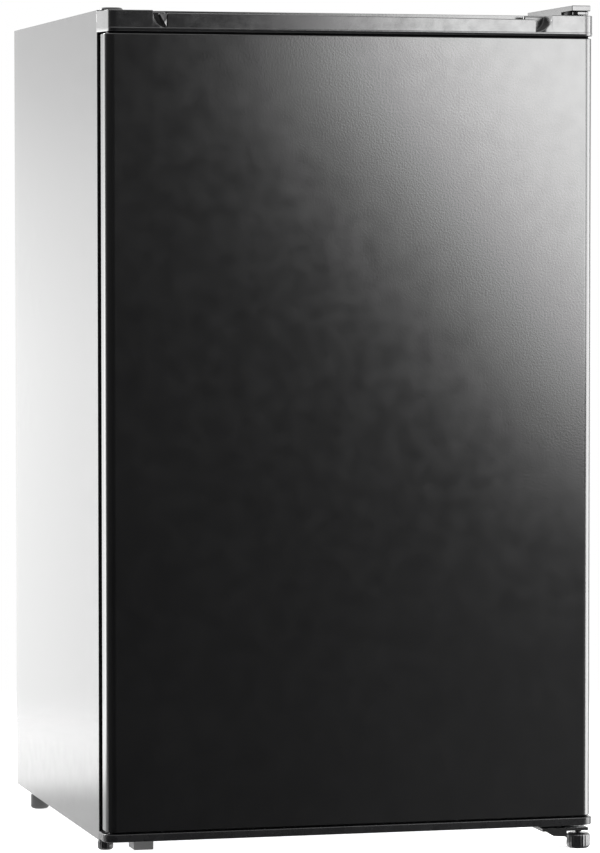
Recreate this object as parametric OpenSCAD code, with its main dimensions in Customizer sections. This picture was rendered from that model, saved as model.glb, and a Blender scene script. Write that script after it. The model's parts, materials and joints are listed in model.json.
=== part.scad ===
// Single-door compact refrigerator with a full-width freezer box, in millimetres.
// Origin: centre of the footprint on the floor. +Z up, the door faces -Y, hinges on +X.

/* [Cabinet] */
// Width of the steel cabinet
cabinet_w = 475; // [465:1:490]
// Depth of the steel cabinet without the door
cabinet_d = 420; // [412:1:440]
// Height of the steel cabinet
cabinet_h = 779; // [775:1:790]
// Clearance between the floor and the cabinet
ground_gap = 20; // [18:1:24]
// Thickness of the insulated side walls
side_wall = 32; // [30:1:34]
// Thickness of the insulated top and back walls
thick_wall = 38; // [36:1:40]
// Thickness of the insulated floor
floor_wall = 34; // [32:1:36]
// Thickness of the painted steel sheet
sheet = 0.8; // [0.6:0.1:1.0]
// Thickness of the moulded inner liner
liner_t = 2; // [1.5:0.5:2.5]
// Width of the folded returns round the cabinet mouth
return_w = 18; // [16:1:19]

/* [Compressor niche] */
// Depth of the niche at the bottom rear
niche_d = 150; // [148:1:154]
// Height of the niche above the cabinet's bottom
niche_h = 165; // [163:1:168]
// Radius of the compressor shell
compressor_r = 62; // [60:1:63]
// Sideways position of the compressor
compressor_x = 70; // [60:1:76]

/* [Door] */
// Distance from the cabinet's front to the door's front
door_offset = 39; // [39:0.5:41]
// Thickness of the door without its gasket
door_t = 31; // [31:0.5:32]
// Height of the top cap
cap_h = 20.8; // [20:0.2:22]
// Visible height of the bottom cap
bottom_cap_h = 8.3; // [8:0.1:9]
// How far the caps stand proud of the panel's sides
cap_lip = 2.3; // [2:0.1:2.5]
// Radius of the panel's rolled vertical edges
edge_r = 9; // [8:0.5:10]
// Half length of the grip lip between the two notches
grip_half = 180; // [170:1:182]
// Radius of the bowl at each end of the grip pocket
grip_r = 16; // [15:0.5:16.5]
// Distance from the grip pocket's back wall to the door's front
grip_back = 25; // [24:0.5:26]

/* [Hinges] */
// Distance from the panel's right edge to the hinge axis
hinge_inset = 12; // [11:0.5:12]
// Distance from the door's front to the hinge axis
hinge_back = 21; // [20.5:0.5:21]
// Radius of both hinge pins
pin_r = 4; // [3.5:0.1:4.5]
// Radial running clearance round a pin
pin_gap = 0.05; // [0.03:0.01:0.08]

/* [Inside] */
// Height of the upper glass shelf above the floor
upper_shelf_z = 474; // [460:1:480]
// Height of the middle glass shelf above the floor
middle_shelf_z = 348; // [335:1:360]
// Height of the glass over the crisper drawer
cover_z = 222; // [222:1:225]
// Half width of the freezer box
freezer_half = 180; // [175:1:180]
// Height of the freezer box
freezer_h = 116; // [110:1:116]

/* [Hidden] */
$fn = 48;
e = 1;
half_w = cabinet_w / 2;
in_w = half_w - sheet;
front_y = -(cabinet_d + door_offset) / 2;
mouth_y = front_y + door_offset;
back_y = mouth_y + cabinet_d;
base_z = ground_gap;
top_z = base_z + cabinet_h;
base_t = 1;

// Cavity lined by the moulded liner, and the hump over the compressor niche.
cav_half = half_w - side_wall;
cav_back = back_y - thick_wall;
cav_z0 = base_z + floor_wall;
cav_z1 = top_z - thick_wall;
in_half = cav_half - liner_t;
niche_y = back_y - niche_d;
niche_z = base_z + niche_h;
niche_wall = 30;
hump_y = niche_y - niche_wall;
hump_z = niche_z + niche_wall;
flange_half = half_w - return_w;
flange_z0 = base_z + return_w;
flange_z1 = top_z - return_w;
rail_x = in_half - 10;

// Door box, from its bottom cap to its top cap.
door_z0 = base_z + 2.8;
door_z1 = top_z - 1.3;
door_y1 = front_y + door_t;
panel_y0 = front_y + 1;
cap_half = half_w + cap_lip;
cap_r = edge_r + 2;
panel_z0 = door_z0 + bottom_cap_h;
panel_z1 = door_z1 - cap_h;
hinge_x = half_w - hinge_inset;
hinge_y = front_y + hinge_back;
pin_len = 13;
bore_r = pin_r + pin_gap;
boss_h = 22;
boss_half = 16;
door_liner_t = 2;
dike_y = mouth_y + 32;
dike_out = in_half - 10;
dike_in = dike_out - 12;
dike_z0 = cav_z0 + 12;
dike_z1 = cav_z1 - 11;
rack_half = dike_in - 1;
rack_y0 = door_y1 + 2;

// Freezer box, its frame and its flap.
freezer_z1 = cav_z1 - liner_t - 11;
freezer_z0 = freezer_z1 - freezer_h;
freezer_y0 = mouth_y + 102.5;
freezer_y1 = freezer_y0 + 238;
frame_y0 = freezer_y0 - 12;
frame_z0 = freezer_z0 - 10;
frame_z1 = freezer_z1 + 8;
flap_x = freezer_half + 8;
flap_y = frame_y0 - 4.6;
flap_pin_r = 3;
lug_h = 5;
tray_top = frame_z0 - 4;
shelf_y0 = mouth_y + 105.5;
shelf_y1 = cav_back - liner_t - 5;
trim_t = 8;
drawer_y0 = mouth_y + 110.5;
knob_y = -20;
knob_z = 550;
knob_shaft_r = 3;
housing_x0 = 175;

// Compressor, drain and the routes of the refrigerant pipes.
comp_y = niche_y + 72.5;
comp_z = base_z + 20;
drain_x = 95;
drain_y = cav_back - 14;
drain_r = 7;
coil_runs = 6;
coil_pitch = 52;
coil_y0 = mouth_y + 50;
coil_z0 = niche_z + 45;
coil_z1 = top_z - 60;
coil_r = 2.4;
coil_x = in_w - 3;
coil_gap = 5;
sensor_route = [[195, -5, 550], [195, 158, 550], [195, 158, 690], [freezer_half + 1.4, 110, 690]];
suction_route = [[compressor_x - compressor_r - 0.6, 150, 118], [-30, 150, 118], [-52, 132, 140],
    [-52, 132, niche_z - 0.2]];
discharge_route = [[compressor_x - compressor_r + 8.4, 120, 78], [-12, 100, 78], [-160, 96, 70],
    [-218, 104, 90], [-218, 112, niche_z - 0.2]];

// Feet and hinge hardware.
foot_inset = 15.5;
stud_r = 3;
right_foot_x = hinge_x + 2;
right_foot_y = hinge_y - 9.5;
left_foot_x = -half_w + 8;
left_foot_y = mouth_y + 9;
left_foot_z = 10;
plate_x0 = hinge_x - 6;
plate_x1 = half_w - 3;
plate_y1 = mouth_y + 100;
plate_t = 3;

black_steel = [0.05, 0.05, 0.055];
black_plastic = [0.04, 0.04, 0.045];
white_plastic = [0.93, 0.94, 0.94];
clear_plastic = [0.80, 0.88, 0.90];
glass_tint = [0.70, 0.86, 0.82];
foam_tint = [0.93, 0.87, 0.66];
zinc = [0.72, 0.73, 0.75];
rubber_black = [0.07, 0.07, 0.07];
copper = [0.78, 0.45, 0.28];

// ---------- helpers ----------

// Axis-aligned block between two corners.
module block(a, b) {
    translate(a) cube(b - a);
}

// Open-topped tray between two corners, with one wall thickness.
module tray(a, b, t) {
    difference() {
        block(a, b);
        block(a + [t, t, t], b + [-t, -t, e]);
    }
}

// Flat plate seen from above with its two front corners rounded.
module front_rounded(half, y0, y1, r) {
    translate([-half, y0 + r]) square([2 * half, y1 - y0 - r]);
    translate([-half + r, y0]) square([2 * (half - r), r + e]);
    for (s = [-1, 1]) translate([s * (half - r), y0 + r]) circle(r);
}

// Extrude an XZ outline along Y, from y0 to y1.
module along_y(y0, y1) {
    translate([0, y1, 0]) rotate([90, 0, 0]) linear_extrude(y1 - y0) children();
}

function unit(v) = v / norm(v);
// Points of a path whose corners are cut by short Bezier curves.
function eased(p, cut = 12, n = 4) = [
    p[0],
    for (i = [1:len(p) - 2])
        let (a = p[i] + cut * unit(p[i - 1] - p[i]), c = p[i] + cut * unit(p[i + 1] - p[i]))
        for (k = [0:n]) let (t = k / n) (1 - t) * (1 - t) * a + 2 * t * (1 - t) * p[i] + t * t * c,
    p[len(p) - 1]
];

// Round tube swept along a path.
module tube(path, r, sides = 10) {
    n = len(path);
    skew = unit([0.31, 0.17, 0.93]);
    rings = [for (i = [0:n - 1])
        let (t = unit(path[min(i + 1, n - 1)] - path[max(i - 1, 0)]))
        let (u = unit(cross(t, skew)), w = cross(t, u))
        for (k = [0:sides - 1]) path[i] + r * (u * cos(360 * k / sides) + w * sin(360 * k / sides))];
    walls = [for (i = [0:n - 2]) for (k = [0:sides - 1])
        let (q = (k + 1) % sides)
        [i * sides + k, (i + 1) * sides + k, (i + 1) * sides + q, i * sides + q]];
    ends = [[for (k = [0:sides - 1]) k], [for (k = [sides - 1:-1:0]) (n - 1) * sides + k]];
    polyhedron(rings, concat(walls, ends));
}

// ---------- cabinet ----------

module side_panel(s) {
    color(black_steel) {
        block([s > 0 ? in_w : -half_w, mouth_y, base_z], [s > 0 ? half_w : -in_w, back_y, top_z]);
        block([s > 0 ? flange_half : -half_w, mouth_y, base_z],
            [s > 0 ? half_w : -flange_half, mouth_y + sheet, top_z]);
    }
}

module left_side_panel() {
    side_panel(-1);
}

module right_side_panel() {
    side_panel(1);
}

module top_panel() {
    color(black_steel) {
        block([-in_w, mouth_y + sheet, top_z - sheet], [in_w, back_y, top_z]);
        block([-flange_half, mouth_y, flange_z1], [flange_half, mouth_y + sheet, top_z]);
    }
}

module back_panel() {
    color(black_steel)
        block([-in_w, back_y - sheet, niche_z + base_t], [in_w, back_y, top_z - sheet]);
}

// Stepped bottom sheet: under the floor, up the niche wall and over the niche.
module base_panel() {
    color(zinc) difference() {
        union() {
            block([-flange_half, mouth_y, base_z], [flange_half, mouth_y + sheet, flange_z0]);
            block([-in_w, mouth_y + sheet, base_z], [in_w, niche_y, base_z + base_t]);
            block([-in_w, niche_y - base_t, base_z], [in_w, niche_y, niche_z + base_t]);
            block([-in_w, niche_y - base_t, niche_z], [in_w, back_y, niche_z + base_t]);
        }
        translate([drain_x, drain_y, niche_z - e]) cylinder(r = drain_r + 0.3, h = 4);
        translate([left_foot_x, left_foot_y, base_z - e]) cylinder(r = stud_r + pin_gap, h = 4);
    }
}

// Stepped block from the mouth to the back, below a plane and behind the niche wall.
module stepped(half, y0, y1, z0, z1, step_y, step_z) {
    difference() {
        block([-half, y0, z0], [half, y1, z1]);
        block([-half - e, step_y, z0 - e], [half + e, y1 + e, step_z]);
    }
}

// Channel in the foam for one serpentine of condenser tube.
module coil_channels(s) {
    x0 = s > 0 ? in_w - 6 : -in_w - e;
    x1 = s > 0 ? in_w + e : -in_w + 6;
    for (i = [0:coil_runs - 1]) {
        y = coil_y0 + i * coil_pitch;
        block([x0, y - coil_gap, coil_z0 - coil_gap], [x1, y + coil_gap, coil_z1 + coil_gap]);
        if (i < coil_runs - 1) {
            z = i % 2 == 0 ? coil_z1 : coil_z0;
            block([x0, y, z - coil_gap], [x1, y + coil_pitch, z + coil_gap]);
        }
    }
}

module cabinet_foam() {
    color(foam_tint) difference() {
        stepped(in_w, mouth_y + sheet, back_y - sheet, base_z + base_t, top_z - sheet,
            niche_y - base_t, niche_z + base_t);
        stepped(cav_half, mouth_y - e, cav_back, cav_z0, cav_z1, hump_y, hump_z);
        coil_channels(-1);
        coil_channels(1);
        translate([drain_x, drain_y, niche_z]) cylinder(r = drain_r + 0.3, h = 60);
        translate([left_foot_x, left_foot_y, base_z]) cylinder(r = stud_r + 1, h = 20);
    }
}

// Rail on both side walls of the liner, with its top at z.
module liner_rails(z, y0, y1) {
    for (s = [-1, 1])
        block([s > 0 ? rail_x : -in_half - 0.5, y0, z - 6], [s > 0 ? in_half + 0.5 : -rail_x, y1, z]);
}

module inner_liner() {
    color(white_plastic) difference() {
        union() {
            difference() {
                union() {
                    stepped(cav_half, mouth_y, cav_back, cav_z0, cav_z1, hump_y, hump_z);
                    block([-flange_half, mouth_y, flange_z0], [flange_half, mouth_y + sheet, flange_z1]);
                }
                stepped(in_half, mouth_y - e, cav_back - liner_t, cav_z0 + liner_t, cav_z1 - liner_t,
                    hump_y - liner_t, hump_z + liner_t);
            }
            liner_rails(tray_top - 2.3, freezer_y0 - 7, freezer_y1);
            liner_rails(upper_shelf_z - 0.3, shelf_y0 + 5, shelf_y1);
            liner_rails(middle_shelf_z - 0.3, shelf_y0 + 5, shelf_y1);
            liner_rails(cover_z - 0.3, shelf_y0 + 5, hump_y - liner_t);
        }
        translate([drain_x, drain_y, hump_z - e]) cylinder(r = drain_r + 0.3, h = 10);
    }
}

// Serpentine of condenser tube behind one side panel.
module coil(s) {
    x = s * coil_x;
    ends = [for (i = [0:coil_runs - 1])
        let (y = coil_y0 + i * coil_pitch, lo = [x, y, coil_z0], hi = [x, y, coil_z1])
        each i % 2 == 0 ? [lo, hi] : [hi, lo]];
    tube(eased(ends, 12, 3), coil_r, 8);
}

module condenser_coils() {
    color(copper) {
        coil(-1);
        coil(1);
    }
}

// ---------- freezer compartment ----------

module evaporator_box() {
    t = 1.6;
    color([0.80, 0.82, 0.84]) difference() {
        block([-freezer_half, freezer_y0, freezer_z0], [freezer_half, freezer_y1, freezer_z1]);
        block([-freezer_half + t, freezer_y0 - e, freezer_z0 + t],
            [freezer_half - t, freezer_y1 - t, freezer_z1 - t]);
    }
}

module evaporator_hangers() {
    color(white_plastic)
        for (x = [-150, 150])
            for (y = [freezer_y0 + 30, freezer_y1 - 30])
                translate([x, y, freezer_z1]) cylinder(r = 8, h = 11);
}

module freezer_frame() {
    color(white_plastic) difference() {
        union() {
            block([-freezer_half - 16, frame_y0, frame_z0], [freezer_half + 16, freezer_y0, frame_z1]);
            for (z = [frame_z0, frame_z1 - lug_h])
                block([flap_x - 8, frame_y0 - 12, z], [flap_x + 8, frame_y0 + e, z + lug_h]);
        }
        block([-freezer_half + 4, frame_y0 - e, freezer_z0 + 4],
            [freezer_half - 4, freezer_y0 + e, freezer_z1 - 4]);
        translate([flap_x, flap_y, frame_z0 - e])
            cylinder(r = flap_pin_r + pin_gap, h = frame_z1 - frame_z0 + 2 * e);
    }
}

module freezer_flap() {
    flap_z0 = frame_z0 + lug_h + 1;
    flap_z1 = frame_z1 - lug_h - 1;
    back = frame_y0 - 1.2;
    color(clear_plastic) {
        block([-freezer_half - 6, back - 6.8, flap_z0], [flap_x, back, flap_z1]);
        translate([flap_x, flap_y, flap_z0]) cylinder(r = 3.4, h = flap_z1 - flap_z0);
        translate([flap_x, flap_y, flap_z0 - 4]) cylinder(r = flap_pin_r, h = flap_z1 - flap_z0 + 8);
        block([-freezer_half + 4, back - 14.8, flap_z0 + 42], [-freezer_half + 30, back - 6, flap_z0 + 82]);
    }
}

module drip_tray() {
    half = rail_x - 3.5;
    y0 = freezer_y0 - 4;
    y1 = freezer_y1 - 10;
    t = 2.5;
    color(clear_plastic) difference() {
        union() {
            block([-half, y0, tray_top - 22], [half, y1, tray_top]);
            block([-in_half + 4.5, y0, tray_top - 2], [in_half - 4.5, y1, tray_top]);
        }
        block([-half + t, y0 + t, tray_top - 22 + t], [half - t, y1 - t, tray_top + e]);
    }
}

// ---------- shelves and crisper ----------

module shelf_glass(z) {
    color(glass_tint) block([-in_half + 3.5, shelf_y0, z], [in_half - 3.5, shelf_y1, z + 4]);
}

// Front moulding gripping the shelf's edge in a shallow groove.
module shelf_trim(z) {
    color(white_plastic)
        block([-in_half + 3.5, shelf_y0 - trim_t, z - 7], [in_half - 3.5, shelf_y0, z + 8]);
}

module upper_shelf_glass() {
    shelf_glass(upper_shelf_z);
}

module upper_shelf_trim() {
    shelf_trim(upper_shelf_z);
}

module middle_shelf_glass() {
    shelf_glass(middle_shelf_z);
}

module middle_shelf_trim() {
    shelf_trim(middle_shelf_z);
}

module crisper_cover_glass() {
    shelf_glass(cover_z);
}

module crisper_cover_trim() {
    shelf_trim(cover_z);
}

module crisper_drawer() {
    half = in_half - 17.5;
    floor_z = cav_z0 + liner_t + 4;
    top = cover_z - 16;
    y1 = hump_y - liner_t - 3.5;
    color(clear_plastic) {
        tray([-half, drawer_y0, floor_z], [half, y1, top], 2.5);
        block([-half, drawer_y0 - 8, top - 14], [half, drawer_y0 + 0.5, top - 9]);
        for (x = [-150, 150]) block([x - 4, drawer_y0, floor_z - 3.7], [x + 4, y1, floor_z + 0.5]);
    }
}

// ---------- thermostat ----------

module thermostat_housing() {
    t = 2;
    color(white_plastic) difference() {
        block([housing_x0, knob_y - 40, knob_z - 30], [in_half, knob_y + 40, knob_z + 30]);
        block([housing_x0 + t, knob_y - 40 + t, knob_z - 30 + t],
            [in_half + e, knob_y + 40 - t, knob_z + 30 - t]);
        translate([housing_x0 - e, knob_y, knob_z]) rotate([0, 90, 0])
            cylinder(r = knob_shaft_r + pin_gap, h = t + 2 * e);
        translate([in_half - 8.5, knob_y + 30, knob_z]) rotate([-90, 0, 0]) cylinder(r = 1.8, h = 20);
    }
}

module thermostat_switch() {
    color(zinc) difference() {
        block([housing_x0 + 5, knob_y - 15, knob_z - 15], [housing_x0 + 24, knob_y + 15, knob_z + 15]);
        translate([housing_x0 + 4, knob_y, knob_z]) rotate([0, 90, 0])
            cylinder(r = knob_shaft_r + pin_gap, h = 13);
    }
}

module thermostat_knob() {
    color(white_plastic) translate([housing_x0 - 12, knob_y, knob_z]) rotate([0, 90, 0]) {
        cylinder(r = 17, h = 11);
        cylinder(r = knob_shaft_r, h = 25);
    }
}

// Sensing capillary from the switch to the side of the freezer box.
module sensor_tube() {
    color(copper) tube(eased(sensor_route, 14, 4), 1.2, 8);
}

// ---------- compressor niche ----------

module compressor_rail() {
    color(zinc) difference() {
        union() {
            block([-in_w, niche_y + 15, base_z], [in_w, back_y - 14, base_z + 2]);
            for (s = [-1, 1])
                block([s > 0 ? in_w - 2 : -in_w, niche_y + 15, base_z],
                    [s > 0 ? in_w : -in_w + 2, back_y - 14, base_z + 20]);
            block([-in_w, back_y - 16, base_z], [in_w, back_y - 14, base_z + 12]);
        }
        grommet_places() cylinder(r = 4.6, h = 3 * e + 2);
    }
}

module grommet_places() {
    for (x = [-68, 68])
        for (y = [-38, 38])
            translate([compressor_x + x, comp_y + y, base_z - e]) children();
}

module compressor_grommets() {
    color(rubber_black) grommet_places() translate([0, 0, e]) {
        difference() {
            union() {
                cylinder(r = 4.5, h = 12);
                translate([0, 0, 2]) cylinder(r = 9, h = 12);
            }
            translate([0, 0, -e]) cylinder(r = 2.5, h = 20);
        }
    }
}

module compressor_shell() {
    r = compressor_r;
    z0 = comp_z - 3;
    foot_z = base_z + 14;
    inner = r - 3;
    color(black_steel) difference() {
        union() {
            translate([compressor_x, comp_y, 0]) rotate_extrude($fn = 96) polygon([
                [0, foot_z + 3], [r - 14, foot_z + 3], [r - 4, z0 + 8], [r, z0 + 20], [r, z0 + 62],
                [r + 2.5, z0 + 63], [r + 2.5, z0 + 67], [r, z0 + 68], [r - 1, z0 + 88],
                [r - 8, z0 + 104], [r - 24, z0 + 111], [0, z0 + 113]]);
            block([compressor_x - 78, comp_y - 46, foot_z], [compressor_x + 78, comp_y + 46, foot_z + 3.5]);
        }
        translate([compressor_x, comp_y, 0]) rotate_extrude($fn = 96) polygon([
            [0, z0 + 4], [inner - 14, z0 + 4], [inner - 4, z0 + 12], [inner - 1, z0 + 21],
            [inner - 1, z0 + 86], [inner - 9, z0 + 101], [inner - 24, z0 + 107], [0, z0 + 109]]);
        grommet_places() cylinder(r = 3.2, h = 25);
    }
}

// Motor and pump block on its three support posts, sealed inside the shell.
module compressor_motor() {
    z0 = comp_z + 1;
    color(zinc) translate([compressor_x, comp_y, 0]) {
        translate([0, 0, z0 + 14]) cylinder(r = 46, h = 48);
        translate([0, 0, z0 + 62]) cylinder(r = 34, h = 26);
        for (a = [90, 210, 330]) rotate(a) translate([32, 0, z0]) cylinder(r = 5, h = 15);
    }
}

module relay_cover() {
    color(black_plastic)
        block([compressor_x + compressor_r + 3.2, comp_y - 22, base_z + 45],
            [compressor_x + compressor_r + 27, comp_y + 24, base_z + 96]);
}

// Rubber cord inlet on the back of the relay cover.
module cord_gland() {
    color(rubber_black) translate([compressor_x + compressor_r + 15, comp_y + 24, base_z + 60])
        rotate([-90, 0, 0]) difference() {
            union() {
                cylinder(r = 8, h = 5);
                cylinder(r = 6, h = 14);
            }
            translate([0, 0, -e]) cylinder(r = 3.6, h = 20);
        }
}

module evaporation_tray() {
    z0 = comp_z - 3 + 113.5;
    color(black_plastic) tray([0, niche_y + 18, z0], [145, back_y - 20, z0 + 20], 2);
}

module drain_tube() {
    color(white_plastic) translate([drain_x, drain_y, 0]) difference() {
        union() {
            translate([0, 0, niche_z - 25]) cylinder(r = drain_r, h = hump_z - niche_z + 27);
            translate([0, 0, hump_z + 2]) cylinder(r = drain_r + 5, h = 2);
        }
        translate([0, 0, niche_z - 30]) cylinder(r = drain_r - 2, h = 120);
    }
}

module filter_drier() {
    color(copper) translate([-120, back_y - 40, base_z + 45]) rotate_extrude() polygon([
        [0, 0], [2.5, 0], [2.5, 12], [9, 24], [9, 86], [2, 98], [2, 110], [0, 110]]);
}

module suction_pipe() {
    color(copper) tube(eased(suction_route, 9, 4), 3.5, 12);
}

module discharge_pipe() {
    color(copper) tube(eased(discharge_route, 9, 4), 2.4, 12);
}

// ---------- feet ----------

module rear_feet() {
    color(black_plastic)
        for (s = [-1, 1])
            translate([s * (half_w - foot_inset), back_y - 46, 0]) rotate_extrude()
                polygon([[0, 0], [8, 0], [9.4, 1.6], [9.4, base_z], [0, base_z]]);
}

// Screw-in foot carried by the bottom hinge bracket.
module right_levelling_foot() {
    color(black_plastic) translate([right_foot_x, right_foot_y, 0]) {
        rotate_extrude() polygon([[0, 0], [9.5, 0], [11.4, 2.2], [11.4, 13.6], [10.4, 14.4], [0, 14.4]]);
        cylinder(r = stud_r, h = 19.6);
    }
}

// Short screw-in foot at the other corner, stored screwed most of the way in.
module left_levelling_foot() {
    color(black_plastic) translate([left_foot_x, left_foot_y, left_foot_z]) {
        rotate_extrude() polygon([[0, 0], [6, 0], [7.4, 1.6], [7.4, 8.8], [0, 8.8]]);
        cylinder(r = stud_r, h = 22);
    }
}

// Moulded block under the front edge, at the latch side.
module front_glide() {
    color(black_plastic)
        along_y(mouth_y - 9.5, mouth_y + 15) polygon([
            [-206, base_z - 9.4], [-187, base_z - 9.4], [-187, base_z], [-206, base_z]]);
}

// ---------- hinges ----------

// Narrow steel strap screwed to the cabinet's top, with the upper pin under its front end.
module top_hinge_plate() {
    color(zinc) difference() {
        union() {
            block([plate_x0, hinge_y, top_z], [plate_x1, plate_y1, top_z + plate_t]);
            translate([hinge_x, hinge_y, top_z]) cylinder(r = plate_x1 - hinge_x, h = plate_t);
            translate([hinge_x, hinge_y, top_z - pin_len]) cylinder(r = pin_r, h = pin_len + 1);
        }
        top_screw_places() cylinder(r = 2.6, h = 10);
    }
}

module top_screw_places() {
    for (y = [30, 60, 90])
        translate([hinge_x + 1.5, mouth_y + y, top_z - e]) children();
}

module top_hinge_screws() {
    color(zinc) top_screw_places() {
        translate([0, 0, e + plate_t]) cylinder(r = 4.4, h = 2);
        translate([0, 0, e - 9]) cylinder(r = 2.3, h = 9 + plate_t + e);
    }
}

// Low moulded cover over the whole strap, hollow underneath.
module top_hinge_cover() {
    t = 1.4;
    x0 = plate_x0 - t - 0.4;
    x1 = half_w - 1.2;
    nose_y = hinge_y - 14;
    end_y = mouth_y + 108;
    z0 = top_z + plate_t + 0.2;
    z1 = top_z + 8.6;
    color(black_plastic) difference() {
        union() {
            block([x0, nose_y, z0], [x1, mouth_y + 2, z1]);
            block([x0, mouth_y + 1, top_z + 0.1], [x1, end_y, z1]);
        }
        block([x0 + t, nose_y + t, z0 - e], [x1 - t, end_y - t, z1 - t]);
        block([x0 + t, mouth_y, top_z - e], [x1 - t, end_y - t, z1 - t]);
    }
}

// Bracket under the cabinet's front edge, with the lower pin and a down-turned web.
module bottom_hinge_bracket() {
    web_y = hinge_y - 16;
    x0 = hinge_x - 36;
    color(black_steel) difference() {
        union() {
            block([x0, web_y, base_z - 3], [half_w - 2, mouth_y + 45, base_z]);
            along_y(web_y, web_y + 3) polygon([
                [x0, base_z], [x0, base_z - 1], [hinge_x - 25, base_z - 7.4],
                [hinge_x - 13, base_z - 8.4], [hinge_x - 11.5, base_z - 9.4], [hinge_x - 11.5, base_z]]);
            translate([hinge_x, hinge_y, base_z - 1]) cylinder(r = pin_r, h = pin_len + 4);
        }
        translate([right_foot_x, right_foot_y, base_z - 3 - e]) cylinder(r = stud_r + pin_gap, h = 3.8);
        bottom_screw_places() cylinder(r = 2.6, h = 8);
    }
}

module bottom_screw_places() {
    for (x = [-22, 2]) translate([hinge_x + x, mouth_y + 30, base_z - 5]) children();
}

module bottom_hinge_screws() {
    color(zinc) bottom_screw_places() {
        cylinder(r = 4.4, h = 2);
        cylinder(r = 2.3, h = 14);
    }
}

// Plastic washers that carry the door on the lower pin and space it under the top plate.
module hinge_washers() {
    color(white_plastic) translate([hinge_x, hinge_y, 0]) difference() {
        union() {
            translate([0, 0, base_z + 0.2]) cylinder(r = 8, h = door_z0 - base_z - 0.5);
            translate([0, 0, door_z1 + 0.3]) cylinder(r = 8, h = top_z - door_z1 - 0.5);
        }
        translate([0, 0, base_z - 5]) cylinder(r = bore_r + 0.15, h = cabinet_h + 20);
    }
}

// ---------- door ----------

// Painted steel panel: flat front, rolled edges and open back.
module door_panel() {
    color(black_steel) translate([0, 0, panel_z0]) linear_extrude(panel_z1 - panel_z0) difference() {
        front_rounded(half_w, panel_y0, door_y1 - 2, edge_r);
        translate([0, sheet]) front_rounded(half_w - sheet, panel_y0, door_y1 + e, edge_r - sheet);
    }
}

module cap_outline(grow = 0) {
    front_rounded(cap_half + grow, front_y - grow, door_y1, cap_r);
}

// Outline of the grip pocket seen from the front: flat floor with a bowl at each end.
module grip_outline() {
    translate([-grip_half, door_z1 - grip_r]) square([2 * grip_half, grip_r + e]);
    for (s = [-1, 1]) translate([s * grip_half, door_z1]) circle(grip_r);
}

module door_top_cap() {
    lip_t = 8.5;
    color(black_plastic) difference() {
        union() {
            difference() {
                translate([0, 0, panel_z1]) linear_extrude(cap_h) cap_outline();
                along_y(front_y - e, front_y + grip_back) grip_outline();
            }
            block([-grip_half + 0.5, front_y, panel_z1], [grip_half - 0.5, front_y + lip_t, door_z1 - 2.2]);
        }
        for (s = [-1, 1])
            translate([s * hinge_x, hinge_y, door_z1 - pin_len - 2]) cylinder(r = bore_r, h = pin_len + 4);
    }
}

module door_bottom_cap() {
    color(black_plastic) difference() {
        union() {
            translate([0, 0, door_z0]) linear_extrude(bottom_cap_h) cap_outline();
            for (s = [-1, 1])
                block([s * hinge_x - (s > 0 ? boss_half : 9), panel_y0 + 4, door_z0 + 1],
                    [s * hinge_x + (s > 0 ? 9 : boss_half), door_y1 - 4, door_z0 + boss_h]);
        }
        for (s = [-1, 1])
            translate([s * hinge_x, hinge_y, door_z0 - e]) cylinder(r = bore_r, h = pin_len + 3);
    }
}

module door_foam() {
    color(foam_tint) difference() {
        translate([0, 0, panel_z0]) linear_extrude(panel_z1 - panel_z0)
            translate([0, sheet])
                front_rounded(half_w - sheet, panel_y0, door_y1 - 2 - sheet, edge_r - sheet);
        for (s = [-1, 1])
            block([s * hinge_x - (s > 0 ? boss_half : 9), panel_y0 + 4, door_z0],
                [s * hinge_x + (s > 0 ? 9 : boss_half), door_y1 - 4, door_z0 + boss_h]);
    }
}

module door_liner() {
    x = half_w - 1;
    y0 = door_y1 - door_liner_t;
    color(white_plastic) difference() {
        union() {
            block([-x, y0, panel_z0], [x, door_y1, panel_z1]);
            block([-dike_out, y0, dike_z0], [dike_out, dike_y, dike_z1]);
        }
        block([-dike_in, door_y1, dike_z0 + 12], [dike_in, dike_y + e, dike_z1 - 12]);
    }
}

module door_gasket() {
    half = in_half + 16.5;
    color(rubber_black) difference() {
        block([-half, door_y1, cav_z0 - 12], [half, mouth_y - 0.3, cav_z1 + 12]);
        block([-half + 16, door_y1 - e, cav_z0 + 4], [half - 16, mouth_y + e, cav_z1 - 4]);
    }
}

// Raised plug in the spare hinge hole of the top cap.
module hinge_hole_plug() {
    color(black_plastic) translate([-hinge_x, hinge_y, door_z1]) {
        rotate_extrude() polygon([[0, 0], [11, 0], [11, 1.8], [10, 2.8], [0, 2.8]]);
        translate([0, 0, -8]) cylinder(r = pin_r - 0.1, h = 9);
    }
}

// Rack hanging between the liner's dikes: a trough with a tall front bar.
module rack(x0, x1, y1, z0, z1, bar_z) {
    t = 2.5;
    color(clear_plastic) {
        tray([x0, rack_y0, z0], [x1, y1, z1], t);
        if (bar_z > z1) {
            block([x0, y1 - t, bar_z - 12], [x1, y1, bar_z]);
            for (x = [x0, x1 - t]) block([x, rack_y0, z1 - 0.5], [x + t, y1, bar_z]);
        }
    }
}

module upper_door_rack() {
    rack(-rack_half, rack_half, mouth_y + 60, 648, 690, 0);
}

module middle_door_rack() {
    rack(-rack_half + 84, rack_half, mouth_y + 82, 360, 412, 0);
}

module bottle_rack() {
    rack(-rack_half, rack_half, mouth_y + 88, 82, 140, 190);
}

// Column that holds a stack of cans and lets the lowest one out.
module can_dispenser() {
    x0 = -rack_half + 0.2;
    x1 = x0 + 76;
    y1 = mouth_y + 78;
    t = 2.5;
    color(clear_plastic) difference() {
        block([x0, rack_y0, 236], [x1, y1, 588]);
        block([x0 + t, rack_y0 + t, 236 + t], [x1 - t, y1 - t, 588 + e]);
        block([x0 + 16, y1 - t - e, 318], [x1 - 16, y1 + e, 572]);
        block([x0 + t, y1 - t - e, 250], [x1 - t, y1 + e, 318 + e]);
    }
}

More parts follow.
